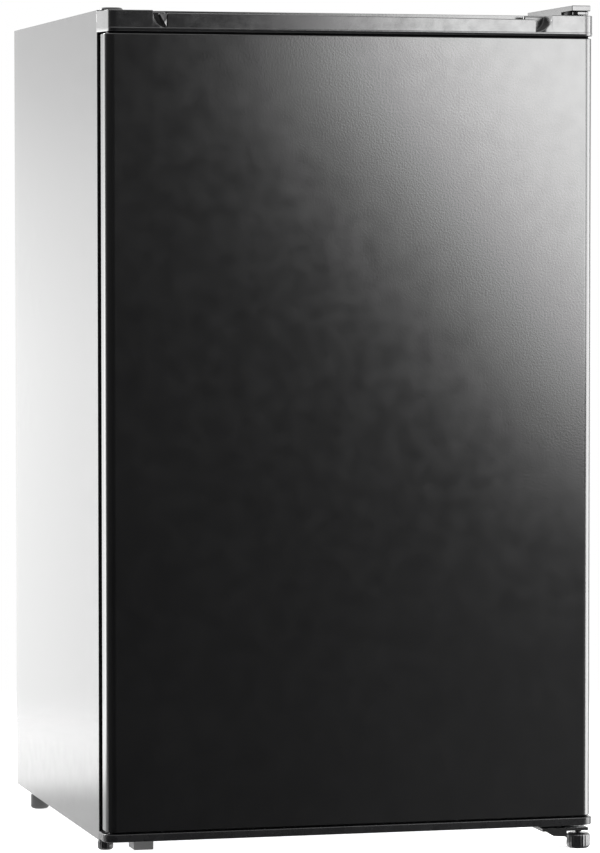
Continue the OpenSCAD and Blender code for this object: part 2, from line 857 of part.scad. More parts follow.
left_side_panel();
right_side_panel();
top_panel();
back_panel();
base_panel();
cabinet_foam();
inner_liner();
condenser_coils();
evaporator_box();
evaporator_hangers();
freezer_frame();
freezer_flap();
drip_tray();
upper_shelf_glass();
upper_shelf_trim();
middle_shelf_glass();
middle_shelf_trim();
crisper_cover_glass();
crisper_cover_trim();
crisper_drawer();
thermostat_housing();
thermostat_switch();
thermostat_knob();
sensor_tube();
compressor_rail();
compressor_grommets();
compressor_shell();
compressor_motor();
relay_cover();
cord_gland();
evaporation_tray();
drain_tube();
filter_drier();
suction_pipe();
discharge_pipe();
rear_feet();
left_levelling_foot();
right_levelling_foot();
front_glide();
top_hinge_plate();
top_hinge_cover();
top_hinge_screws();
bottom_hinge_bracket();
bottom_hinge_screws();
hinge_washers();
door_panel();
door_foam();
door_liner();
door_gasket();
door_top_cap();
door_bottom_cap();
hinge_hole_plug();
upper_door_rack();
middle_door_rack();
bottle_rack();
can_dispenser();
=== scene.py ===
"""Looks of a single-door compact refrigerator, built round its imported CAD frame."""
import json
import math
from collections import namedtuple

import bmesh
import bpy
from mathutils import Matrix, Vector


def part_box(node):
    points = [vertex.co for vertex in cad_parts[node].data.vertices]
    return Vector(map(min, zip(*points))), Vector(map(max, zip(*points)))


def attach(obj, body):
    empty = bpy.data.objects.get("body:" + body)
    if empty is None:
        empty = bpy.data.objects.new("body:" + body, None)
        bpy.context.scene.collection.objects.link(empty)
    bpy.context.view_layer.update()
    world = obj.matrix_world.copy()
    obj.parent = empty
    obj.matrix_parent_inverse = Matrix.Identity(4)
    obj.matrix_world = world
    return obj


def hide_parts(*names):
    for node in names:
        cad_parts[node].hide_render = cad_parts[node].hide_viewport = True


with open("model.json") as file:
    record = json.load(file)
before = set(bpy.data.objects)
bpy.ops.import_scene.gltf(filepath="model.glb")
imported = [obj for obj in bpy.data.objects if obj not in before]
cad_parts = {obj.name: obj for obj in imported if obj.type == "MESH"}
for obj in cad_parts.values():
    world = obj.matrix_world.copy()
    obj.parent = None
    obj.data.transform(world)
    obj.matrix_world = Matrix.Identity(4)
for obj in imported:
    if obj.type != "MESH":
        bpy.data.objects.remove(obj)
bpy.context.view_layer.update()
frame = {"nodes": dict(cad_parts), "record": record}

MM = 0.001
Span = namedtuple("Span", "x0 x1 y0 y1 z0 z1")
SLOTS = {part["node"]: part["material_slot"] for part in frame["record"]["subparts"]}
BODIES = {
    node: body
    for body, nodes in frame["record"]["behaviour"]["bodies"].items()
    for node in nodes
}


# ---------- camera, world and lights ----------

CAMERA_PLACE = (-1.03086, -4.01484, 0.59259)
CAMERA_TURN = (87.32, 0.03, -14.50)
CAMERA_LENS = 175.87


def add_camera():
    """Long lens from the left front, a little above the middle, turned by degrees about X, Y and Z."""
    data = bpy.data.cameras.new("camera")
    data.sensor_width = 36
    data.lens = CAMERA_LENS
    data.clip_end = 100
    camera = bpy.data.objects.new("camera", data)
    camera.location = CAMERA_PLACE
    camera.rotation_euler = [math.radians(turn) for turn in CAMERA_TURN]
    bpy.context.scene.collection.objects.link(camera)
    bpy.context.scene.camera = camera


# Studio round the object: (azimuth from -Y towards +X in degrees, radiance).
AROUND = [
    (-180, 2.5), (-171, 2.15), (-165, 1.8), (-156, 5.5), (-131, 6.0), (-120, 1.4), (-110, 0.4), (-84, 0.10),
    (-30, 0.02), (8, 0.015), (12, 0.03), (15.5, 0.08), (18.5, 0.18), (24, 0.36), (44, 0.60), (60, 1.2),
    (140, 2.0), (180, 2.5),
]
# Share of that radiance by the Z of the direction, from straight down to straight up.
HEIGHTS = [
    (-1.0, 0.3), (-0.30, 0.6), (-0.135, 1.0), (-0.03, 1.0), (0.01, 0.84), (0.04, 0.60), (0.10, 0.5),
    (1.0, 0.5),
]
# The brightest radiance in AROUND, because a colour ramp holds no more than 1.
PEAK = 6
# Radiance added from just below the horizon upwards, and the radiance of the ceiling.
GLOW = 0.10
CEILING = 1.6


def add_world():
    """White to the camera, and a studio of bright and dark parts to the paint that mirrors it."""
    world = bpy.data.worlds.new("studio")
    bpy.context.scene.world = world
    world.use_nodes = True
    tree = world.node_tree
    tree.nodes.clear()
    new, link = tree.nodes.new, tree.links.new
    coords = new("ShaderNodeTexCoord")
    split = new("ShaderNodeSeparateXYZ")
    link(coords.outputs["Generated"], split.inputs[0])
    back = math_node(tree, "MULTIPLY", split.outputs["Y"], -1)
    angle = math_node(tree, "ARCTAN2", split.outputs["X"], back)
    around = new("ShaderNodeValToRGB")
    link(math_node(tree, "MULTIPLY_ADD", angle, 1 / (2 * math.pi), 0.5), around.inputs[0])
    fill_ramp(around, [(a / 360 + 0.5, (v / PEAK,) * 3) for a, v in AROUND])
    height = new("ShaderNodeValToRGB")
    link(math_node(tree, "MULTIPLY_ADD", split.outputs["Z"], 0.5, 0.5), height.inputs[0])
    fill_ramp(height, [(z * 0.5 + 0.5, (v,) * 3) for z, v in HEIGHTS])
    radiance = math_node(tree, "MULTIPLY", around.outputs[0], PEAK)
    level = math_node(tree, "MULTIPLY", radiance, height.outputs[0])
    level = math_node(tree, "ADD", level, map_range(tree, split.outputs["Z"], -0.10, 0.06, 0, GLOW))
    above = new("ShaderNodeMix")
    link(map_range(tree, split.outputs["Z"], 0.30, 0.65, smooth=True), above.inputs["Factor"])
    link(level, above.inputs["A"])
    above.inputs["B"].default_value = CEILING
    lit = new("ShaderNodeBackground")
    link(above.outputs["Result"], lit.inputs["Color"])
    seen = new("ShaderNodeBackground")
    seen.inputs["Color"].default_value = (1, 1, 1, 1)
    rays = new("ShaderNodeLightPath")
    mix = new("ShaderNodeMixShader")
    link(rays.outputs["Is Camera Ray"], mix.inputs["Fac"])
    link(lit.outputs[0], mix.inputs[1])
    link(seen.outputs[0], mix.inputs[2])
    out = new("ShaderNodeOutputWorld")
    link(mix.outputs[0], out.inputs["Surface"])


def add_area(name, place, aim, size, power, shape="RECTANGLE", spread=180):
    """A soft light that points at a place and stays out of the picture."""
    data = bpy.data.lights.new(name, "AREA")
    data.shape = shape
    data.size, data.size_y = size
    data.energy = power
    data.spread = math.radians(spread)
    light = bpy.data.objects.new(name, data)
    light.location = place
    light.rotation_euler = (Vector(aim) - Vector(place)).to_track_quat("-Z", "Y").to_euler()
    light.visible_camera = False
    bpy.context.scene.collection.objects.link(light)


def add_key():
    """Feathered softbox in front of the door, tilted so its light fades away from the upper right corner."""
    across = Vector((0.787, 0, 0.617))
    along = Vector((-0.617, 0, 0.787))
    data = bpy.data.lights.new("key", "AREA")
    data.shape = "RECTANGLE"
    data.size, data.size_y = 0.76, 1.0
    data.energy = 9.6
    data.spread = math.radians(110)
    data.use_nodes = True
    tree = data.node_tree
    place = tree.nodes.new("ShaderNodeNewGeometry").outputs["Position"]

    def feather(direction, start, end):
        dot = tree.nodes.new("ShaderNodeVectorMath")
        dot.operation = "DOT_PRODUCT"
        tree.links.new(place, dot.inputs[0])
        dot.inputs[1].default_value = direction
        return map_range(tree, dot.outputs["Value"], start, end, smooth=True)

    ends = math_node(tree, "MULTIPLY", feather(-along, -0.60, -0.40), feather(along, -0.40, -0.16))
    strength = math_node(tree, "MULTIPLY", feather(across, 0.66, 1.06), ends)
    tree.links.new(strength, tree.nodes["Emission"].inputs["Strength"])
    light = bpy.data.objects.new("key", data)
    light.matrix_world = Matrix((across, along, (0, -1, 0))).transposed().to_4x4()
    light.location = (0.757, -1.729, 0.720)
    light.visible_camera = False
    bpy.context.scene.collection.objects.link(light)


def add_lights():
    """Key for the door, strip for its hinge edge, a lamp for the right side and a wash for the rear floor."""
    add_key()
    add_area("strip", (1.0, -1.15, 0.72), (0.237, -0.22, 0.66), (0.42, 0.60), 2.6)
    add_area("right", (1.576, -0.606, 0.45), (0.237, -0.22, 0.45), (1.2, 1.8), 50)
    add_area("wash", (-1.2, 2.0, 1.6), (-0.5, 0.75, 0), (1.0, 1.0), 22, "ELLIPSE", 100)


# ---------- material helpers ----------

def math_node(tree, operation, *values):
    """A Math node whose inputs are sockets or numbers, as its output socket."""
    node = tree.nodes.new("ShaderNodeMath")
    node.operation = operation
    for socket, value in zip(node.inputs, values):
        if isinstance(value, (int, float)):
            socket.default_value = value
        else:
            tree.links.new(value, socket)
    return node.outputs[0]


def map_range(tree, value, start, end, low=0.0, high=1.0, smooth=False):
    """Maps start to end onto low to high, as an output socket."""
    node = tree.nodes.new("ShaderNodeMapRange")
    if smooth:
        node.interpolation_type = "SMOOTHSTEP"
    node.inputs["From Min"].default_value = start
    node.inputs["From Max"].default_value = end
    node.inputs["To Min"].default_value = low
    node.inputs["To Max"].default_value = high
    tree.links.new(value, node.inputs["Value"])
    return node.outputs[0]


def fill_ramp(ramp, stops):
    """Gives a colour ramp these (position, colour) stops."""
    elements = ramp.color_ramp.elements
    while len(elements) < len(stops):
        elements.new(0.5)
    for element, (position, colour) in zip(elements, stops):
        element.position = position
        element.color = (*colour, 1)


def base_material(name, **values):
    """A Principled material with these values on its sockets, with object coordinates to texture it by."""
    material = bpy.data.materials.new(name)
    material.use_nodes = True
    tree = material.node_tree
    shader = tree.nodes["Principled BSDF"]
    for key, value in values.items():
        shader.inputs[key.replace("_", " ")].default_value = value
    coords = tree.nodes.new("ShaderNodeTexCoord")
    return material, tree, shader, coords.outputs["Object"]


def noise(tree, coords, scale, detail=2.0, rough=0.5, stretch=None):
    """Noise in object space, as its factor socket."""
    if stretch:
        mapping = tree.nodes.new("ShaderNodeMapping")
        mapping.inputs["Scale"].default_value = stretch
        tree.links.new(coords, mapping.inputs[0])
        coords = mapping.outputs[0]
    node = tree.nodes.new("ShaderNodeTexNoise")
    node.inputs["Scale"].default_value = scale
    node.inputs["Detail"].default_value = detail
    node.inputs["Roughness"].default_value = rough
    tree.links.new(coords, node.inputs["Vector"])
    return node.outputs["Fac"]


def mottle(tree, factor, dark, light, socket, low=0.3, high=0.7):
    """Colours a socket from dark to light by a factor."""
    ramp = tree.nodes.new("ShaderNodeValToRGB")
    fill_ramp(ramp, [(low, dark), (high, light)])
    tree.links.new(factor, ramp.inputs[0])
    tree.links.new(ramp.outputs[0], socket)


def spread_value(tree, factor, low, high, socket):
    """Drives a number socket from low to high by a factor."""
    tree.links.new(map_range(tree, factor, 0.3, 0.7, low, high), socket)


def bump(tree, shader, height, distance):
    """Adds a bump layer, on top of any that the shader has."""
    node = tree.nodes.new("ShaderNodeBump")
    node.inputs["Distance"].default_value = distance
    node.inputs["Strength"].default_value = 1.0
    tree.links.new(height, node.inputs["Height"])
    if shader.inputs["Normal"].links:
        tree.links.new(shader.inputs["Normal"].links[0].from_socket, node.inputs["Normal"])
    tree.links.new(node.outputs[0], shader.inputs["Normal"])


# ---------- materials ----------

def black_paint(name, rough=0.17, grain=0.000035):
    """Baked black enamel on sheet steel: deep black with a fine orange peel."""
    material, tree, shader, coords = base_material(name, Specular_IOR_Level=1.0)
    cloud = noise(tree, coords, 9, 3)
    mottle(tree, cloud, (0.0020, 0.0020, 0.0022), (0.0030, 0.0030, 0.0032), shader.inputs["Base Color"])
    spread_value(tree, noise(tree, coords, 60, 4), rough - 0.02, rough + 0.02, shader.inputs["Roughness"])
    bump(tree, shader, noise(tree, coords, 560, 1), grain)
    return material


def moulded_plastic(name, dark, light, rough, grain, scale=900, specular=0.5):
    """Injection-moulded plastic with a fine spark-eroded grain."""
    material, tree, shader, coords = base_material(name, Specular_IOR_Level=specular)
    mottle(tree, noise(tree, coords, 25, 3), dark, light, shader.inputs["Base Color"])
    spread_value(tree, noise(tree, coords, 120, 3), rough - 0.04, rough + 0.04, shader.inputs["Roughness"])
    bump(tree, shader, noise(tree, coords, scale, 2), grain)
    return material


def bare_metal(name, dark, light, rough, stretch):
    """Bare metal with a drawn or rolled grain."""
    material, tree, shader, coords = base_material(name, Metallic=1.0)
    grain = noise(tree, coords, 180, 4, 0.6, stretch)
    mottle(tree, grain, dark, light, shader.inputs["Base Color"])
    spread_value(tree, noise(tree, coords, 40, 3), rough - 0.06, rough + 0.08, shader.inputs["Roughness"])
    bump(tree, shader, grain, 0.00002)
    return material


def galvanised():
    """Zinc-coated sheet with its spangle."""
    material, tree, shader, coords = base_material("zinc_steel", Metallic=1.0)
    cells = tree.nodes.new("ShaderNodeTexVoronoi")
    cells.inputs["Scale"].default_value = 90
    tree.links.new(coords, cells.inputs["Vector"])
    mottle(tree, cells.outputs["Color"], (0.34, 0.35, 0.37), (0.62, 0.63, 0.65),
           shader.inputs["Base Color"], 0.1, 0.9)
    spread_value(tree, noise(tree, coords, 60, 3), 0.28, 0.42, shader.inputs["Roughness"])
    bump(tree, shader, noise(tree, coords, 500, 2), 0.00002)
    return material


def clear_styrene():
    """Clear crystal styrene with a trace of blue and fine scuffs."""
    material, tree, shader, coords = base_material(
        "clear_plastic", Transmission_Weight=1.0, IOR=1.12, Specular_IOR_Level=0.5, Alpha=1.0)
    mottle(tree, noise(tree, coords, 30, 3), (0.955, 0.975, 0.98), (0.98, 0.99, 0.995),
           shader.inputs["Base Color"])
    spread_value(tree, noise(tree, coords, 200, 4), 0.03, 0.09, shader.inputs["Roughness"])
    bump(tree, shader, noise(tree, coords, 160, 2), 0.00003)
    return material


def shelf_glass():
    """Toughened float glass, green at its thick edges."""
    material, tree, shader, coords = base_material(
        "glass", Transmission_Weight=1.0, IOR=1.2, Specular_IOR_Level=0.5)
    mottle(tree, noise(tree, coords, 12, 2), (0.90, 0.965, 0.94), (0.93, 0.98, 0.96),
           shader.inputs["Base Color"])
    spread_value(tree, noise(tree, coords, 90, 3), 0.0, 0.03, shader.inputs["Roughness"])
    return material


def poured_foam():
    """Rigid polyurethane foam with its cells and a yellow skin."""
    material, tree, shader, coords = base_material("foam", Specular_IOR_Level=0.2)
    mottle(tree, noise(tree, coords, 40, 5), (0.62, 0.50, 0.24), (0.82, 0.72, 0.42),
           shader.inputs["Base Color"])
    shader.inputs["Roughness"].default_value = 0.9
    bump(tree, shader, noise(tree, coords, 700, 3), 0.0003)
    return material


def soft_rubber():
    """Dull black rubber."""
    material, tree, shader, coords = base_material("rubber", Specular_IOR_Level=0.35)
    mottle(tree, noise(tree, coords, 45, 4), (0.010, 0.010, 0.010), (0.018, 0.018, 0.018),
           shader.inputs["Base Color"])
    spread_value(tree, noise(tree, coords, 90, 3), 0.5, 0.66, shader.inputs["Roughness"])
    bump(tree, shader, noise(tree, coords, 800, 2), 0.00004)
    return material


def cast_iron():
    """Rough grey iron of the motor and pump."""
    material, tree, shader, coords = base_material("iron", Metallic=0.8)
    mottle(tree, noise(tree, coords, 70, 5), (0.10, 0.10, 0.105), (0.22, 0.22, 0.225),
           shader.inputs["Base Color"])
    shader.inputs["Roughness"].default_value = 0.6
    bump(tree, shader, noise(tree, coords, 400, 4), 0.0002)
    return material


def make_materials():
    """The materials by the name of their slot, and three more for parts that differ from their slot."""
    return {
        "black_steel": black_paint("black_steel"),
        "black_hardware": black_paint("black_hardware", 0.26, 0.00003),
        "zinc_steel": galvanised(),
        "iron": cast_iron(),
        "foam": poured_foam(),
        "white_plastic": moulded_plastic(
            "white_plastic", (0.78, 0.79, 0.80), (0.82, 0.83, 0.84), 0.30, 0.00001, 500),
        "clear_plastic": clear_styrene(),
        "glass": shelf_glass(),
        "aluminium": bare_metal("aluminium", (0.62, 0.63, 0.64), (0.78, 0.79, 0.80), 0.34, (1, 1, 12)),
        "copper": bare_metal("copper", (0.52, 0.22, 0.12), (0.72, 0.36, 0.22), 0.30, (1, 1, 1)),
        "rubber": soft_rubber(),
        "matt_plastic": moulded_plastic(
            "matt_plastic", (0.004, 0.004, 0.0045), (0.006, 0.006, 0.0065), 0.27, 0.00001, 600),
        "grey_plastic": moulded_plastic(
            "grey_plastic", (0.10, 0.10, 0.10), (0.13, 0.13, 0.13), 0.45, 0.00002, 600),
        "phosphated": moulded_plastic(
            "phosphated", (0.010, 0.010, 0.011), (0.018, 0.018, 0.019), 0.62, 0.00004, 400, 0.25),
        "black_plastic": moulded_plastic(
            "black_plastic", (0.006, 0.006, 0.0065), (0.009, 0.009, 0.0095), 0.17, 0.00001, 700, 1.0),
    }


# ---------- dressing of the CAD nodes ----------

# Vertices of a CAD mesh that are closer than this become one, in metres.
WELD = 1e-6


def assign(obj, *materials):
    """Gives an object these materials alone."""
    obj.data.materials.clear()
    for material in materials:
        obj.data.materials.append(material)


def mesh_object(name, mesh, *materials):
    """Turns a bmesh into an object of the scene."""
    data = bpy.data.meshes.new(name)
    mesh.to_mesh(data)
    mesh.free()
    obj = bpy.data.objects.new(name, data)
    bpy.context.scene.collection.objects.link(obj)
    assign(obj, *materials)
    return obj


def soften(obj, width, angle=30, segments=2):
    """Rounds an object's sharp edges and shades it smooth."""
    for face in obj.data.polygons:
        face.use_smooth = True
    if width:
        edge = obj.modifiers.new("edges", "BEVEL")
        edge.width = width * MM
        edge.segments = segments
        edge.limit_method = "ANGLE"
        edge.angle_limit = math.radians(angle)
        edge.harden_normals = True
    obj.modifiers.new("shading", "WEIGHTED_NORMAL").keep_sharp = True


def dressed(node, width=0.4, angle=30, segments=2, change=None):
    """A copy of a CAD node with clean flat faces and rounded edges, shown in its place."""
    mesh = bmesh.new()
    mesh.from_mesh(frame["nodes"][node].data)
    bmesh.ops.remove_doubles(mesh, verts=mesh.verts, dist=WELD)
    bmesh.ops.dissolve_limit(mesh, angle_limit=math.radians(0.5), verts=mesh.verts, edges=mesh.edges)
    if change:
        for vertex in mesh.verts:
            change(vertex)
    return piece(node.replace("_", "-"), mesh, node, width, angle, segments)


def piece(name, mesh, node, width=0.0, angle=30, segments=2, hides=True, material=None):
    """Makes a bmesh an object that rides with a CAD node's body and, unless told, takes its material."""
    obj = mesh_object(name, mesh, material or MATERIALS[SLOTS[node]])
    soften(obj, width, angle, segments)
    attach(obj, BODIES[node])
    if hides:
        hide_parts(node)
    return obj


def floor_material(name, glow, rear_glow):
    """Pale board that thins out with distance, so that it runs into the background, and glows by itself:
    evenly on the seen board, and on the mirrored board as painted light and shade, dim in front and bright at
    the rear.
    """
    material, tree, shader, coords = base_material(name, Specular_IOR_Level=0.1, Roughness=0.8)
    mottle(tree, noise(tree, coords, 3, 2), (0.80, 0.80, 0.80), (0.84, 0.84, 0.84),
           shader.inputs["Base Color"])
    shader.inputs["Emission Color"].default_value = (1, 1, 1, 1)
    split = tree.nodes.new("ShaderNodeSeparateXYZ")
    tree.links.new(coords, split.inputs[0])
    # Painted glow by depth, from glow in front to rear_glow behind: on the mirrored board it paints the
    # object's shade on the floor near it and the lit floor behind it, for the paint to reflect.
    painted_glow_by_depth = map_range(tree, split.outputs["Y"], 0.20, 0.46, glow, rear_glow, smooth=True)
    tree.links.new(painted_glow_by_depth, shader.inputs["Emission Strength"])
    distance = tree.nodes.new("ShaderNodeVectorMath")
    distance.operation = "LENGTH"
    tree.links.new(coords, distance.inputs[0])
    fade = map_range(tree, distance.outputs["Value"], 0.45, 1.3, 1, 0, smooth=True)
    tree.links.new(fade, shader.inputs["Alpha"])
    return material


def add_floor():
    """A softly lit board that is seen, and under it one that only shows in the paint, whose glow is a painted
    reflection: dim beside and in front of the object, brighter than the seen board behind it.
    """
    reach = 1.5
    # The mirrored board glows 0.04 near the object and 1.1 behind it: a painted reflection of a floor shaded
    # by the object and lit at the rear.
    boards = (("floor", -reach, 0, 0.8, 0.8, True), ("floor-mirrored", -0.2, -0.0005, 0.04, 1.1, False))
    for name, front, height, glow, rear_glow, seen in boards:
        mesh = bmesh.new()
        corners = [(-reach, front), (reach, front), (reach, reach), (-reach, reach)]
        mesh.faces.new([mesh.verts.new((x, y, height)) for x, y in corners])
        floor = mesh_object(name, mesh, floor_material(name, glow, rear_glow))
        floor.visible_camera = seen
        floor.visible_diffuse = seen
        floor.visible_shadow = seen
        floor.visible_glossy = not seen


# ---------- mesh helpers, all in millimetres ----------

# Puts a flat point and a distance along an axis together as a 3-D point.
AXES = {
    "x": lambda p, d: (d, p[0], p[1]),
    "y": lambda p, d: (p[0], d, p[1]),
    "z": lambda p, d: (p[0], p[1], d),
}


def arc(cx, cy, r, start, end, steps=8):
    """Points of an arc between two angles in degrees."""
    turns = [math.radians(start + (end - start) * k / steps) for k in range(steps + 1)]
    return [(cx + r * math.cos(a), cy + r * math.sin(a)) for a in turns]


def rounded(x0, x1, y0, y1, r, steps=6):
    """Rectangle with round corners, anticlockwise."""
    return (arc(x1 - r, y0 + r, r, -90, 0, steps) + arc(x1 - r, y1 - r, r, 0, 90, steps)
            + arc(x0 + r, y1 - r, r, 90, 180, steps) + arc(x0 + r, y0 + r, r, 180, 270, steps))


def loft(mesh, rings, endless=False):
    """Skins closed rings of 3-D points that all have the same count, with end caps unless it is endless."""
    rows = [[mesh.verts.new((x * MM, y * MM, z * MM)) for x, y, z in ring] for ring in rings]
    count = len(rows[0])
    pairs = list(zip(rows, rows[1:])) + ([(rows[-1], rows[0])] if endless else [])
    for low, high in pairs:
        for k in range(count):
            n = (k + 1) % count
            mesh.faces.new((low[k], low[n], high[n], high[k]))
    if not endless:
        mesh.faces.new(rows[0][::-1])
        mesh.faces.new(rows[-1])


def stack(mesh, axis, box, levels, steps=6, endless=False):
    """Lofts rounded rectangles along an axis: box is (x0, x1, y0, y1, corner), levels are (inset, place)."""
    x0, x1, y0, y1, r = box
    rings = []
    for inset, place in levels:
        points = rounded(x0 + inset, x1 - inset, y0 + inset, y1 - inset, max(r - inset, 0.4), steps)
        rings.append([AXES[axis](point, place) for point in points])
    loft(mesh, rings, endless=endless)


def pillow(mesh, axis, box, low, high, edge, steps=6):
    """Slab with all its edges rounded."""
    turns = (0, math.pi / 6, math.pi / 3, math.pi / 2)
    curve = [(edge * (1 - math.sin(a)), edge * (1 - math.cos(a))) for a in turns]
    levels = [(i, low + d) for i, d in curve] + [(i, high - d) for i, d in curve[::-1]]
    stack(mesh, axis, box, levels, steps)


def tub(mesh, box, low, high, wall, foot=4.0, draft=1.0):
    """Open moulded tray with a rounded floor edge, drafted sides and a rolled rim."""
    turns = (0, 0.5, 1.0, math.pi / 2)
    bend = [(foot * (1 - math.sin(a)) + draft, foot * (1 - math.cos(a))) for a in turns]
    rim = 0.5 * wall
    outer = [(i, low + d) for i, d in bend] + [(0.3, high - rim), (0.3 + 0.3 * rim, high - 0.2 * rim)]
    inner = [(wall - 0.3 * rim, high - 0.2 * rim), (wall, high - rim)]
    inner += [(i + wall, low + wall + d) for i, d in bend[::-1]]
    stack(mesh, "z", box, outer + inner)


def lathe(mesh, profile, centre, axis="z", steps=48, wave=None):
    """Turns (radius, height) points about an axis through centre; wave varies the radius with the angle."""
    cx, cy, cz = centre
    rings = []
    for r, h in profile:
        ring = []
        for k in range(steps):
            a = 2 * math.pi * k / steps
            w = r * (1 if wave is None else wave(a, r))
            u, v = w * math.cos(a), w * math.sin(a)
            ring.append({"z": (cx + u, cy + v, cz + h), "x": (cx + h, cy + u, cz + v),
                         "y": (cx + v, cy + h, cz + u)}[axis])
        rings.append(ring)
    loft(mesh, rings)


def tube(mesh, path, radius, sides=12):
    """Sweeps a circle along 3-D points with a frame that doesn't twist."""
    points = [Vector(p) for p in path]
    side = None
    rings = []
    for i, point in enumerate(points):
        along = (points[min(i + 1, len(points) - 1)] - points[max(i - 1, 0)]).normalized()
        if side is None:
            side = along.orthogonal().normalized()
        side = (side - along * side.dot(along)).normalized()
        other = along.cross(side)
        turns = [2 * math.pi * k / sides for k in range(sides)]
        rings.append([tuple(point + radius * (side * math.cos(a) + other * math.sin(a))) for a in turns])
    loft(mesh, rings)


def eased(path, cut, steps=5):
    """Path with its corners cut by short curves."""
    points = [Vector(p) for p in path]
    out = [points[0]]
    for before, corner, after in zip(points, points[1:], points[2:]):
        a = corner + cut * (before - corner).normalized()
        c = corner + cut * (after - corner).normalized()
        for k in range(steps + 1):
            t = k / steps
            out.append((1 - t) ** 2 * a + 2 * t * (1 - t) * corner + t * t * c)
    return out + [points[-1]]


def span(node):
    """A node's box in millimetres."""
    low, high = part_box(node)
    return Span(low.x / MM, high.x / MM, low.y / MM, high.y / MM, low.z / MM, high.z / MM)


# ---------- door ----------

# Shadow line that the caps leave along the door panel.
REVEAL = 0.9


def build_door_panel():
    """Sheet with rolled vertical edges, with the caps' spigots, the foam and the edge profile inside it."""
    x0, x1, y0, y1, z0, z1 = span("door_panel")
    roll, hem, sheet = 9, 2.5, 0.8
    rear = y1 - 4.5

    def outline(inset):
        half = ([(x0 + 12, rear - inset)] + arc(x0 + hem, rear - hem, hem - inset, 90, 180, 4)
                + arc(x0 + roll, y0 + roll, roll - inset, 180, 270, 12))
        return half + [(-x, y) for x, y in half[::-1]]

    inner = outline(sheet)[::-1]
    edge = [(0.75, 0), (0.4, 0.12), (0.12, 0.4), (0, 0.9)]
    levels = [(i, z0 + REVEAL + d) for i, d in edge] + [(i, z1 - REVEAL - d) for i, d in edge[::-1]]
    mesh = bmesh.new()
    loft(mesh, [[(x, y, z) for x, y in outline(i) + inner] for i, z in levels])
    piece("door-panel", mesh, "door_panel")
    mesh = bmesh.new()
    for low, high in ((z1 - 8, z1 + 2), (z0 - 2, z0 + 8)):
        stack(mesh, "z", (x0 + 2.5, x1 - 2.5, y0 + 2.5, y1, 7), [(0, low), (0, high)])
    piece("door-cap-spigots", mesh, "door_top_cap", hides=False)
    mesh = bmesh.new()
    pillow(mesh, "z", (x0 + 4, x1 - 4, y0 + 1, y1 + 0.2, 8), z0 + 9, z1 - 9, 1)
    piece("door-foam", mesh, "door_foam")
    mesh = bmesh.new()
    liner = span("door_liner")
    profile = [(0.6, rear - 0.2), (0, rear + 1), (0, y1 + 1.8), (0.8, y1 + 2.6), (5, y1 + 2.6),
               (5, rear - 0.2)]
    stack(mesh, "y", (x0 + 2.4, x1 - 2.4, liner.z0, liner.z1, 3), profile, 3, endless=True)
    piece("door-edge-profile", mesh, "door_liner", hides=False, material=MATERIALS["matt_plastic"])


def build_door_caps():
    """Top and bottom caps, cut back to leave a shadow line along the panel, and the plug in the top one."""
    build_top_cap()
    seam = span("door_panel").z0

    def drop(vertex):
        if abs(vertex.co.z - seam * MM) < 1e-5:
            vertex.co.z = (seam - REVEAL) * MM

    assign(dressed("door_bottom_cap", 0.8, 40, 3, drop), MATERIALS["matt_plastic"])
    x0, x1, y0, y1, z0, z1 = span("hinge_hole_plug")
    seat = span("door_top_cap").z1
    mesh = bmesh.new()
    rim = [(0, seat - 0.3), (0.1, seat + 0.7), (0.9, z1 - 0.9), (2.0, z1 - 0.2), (3.4, z1)]
    stack(mesh, "z", (x0 - 2, x1 - 2, y0 + 1.5, y1 - 0.5, 9), rim)
    lathe(mesh, [(3.6, z0), (3.6, seat)], ((x0 + x1) / 2, (y0 + y1) / 2, 0))
    piece("hinge-hole-plug", mesh, "hinge_hole_plug", material=MATERIALS["matt_plastic"])


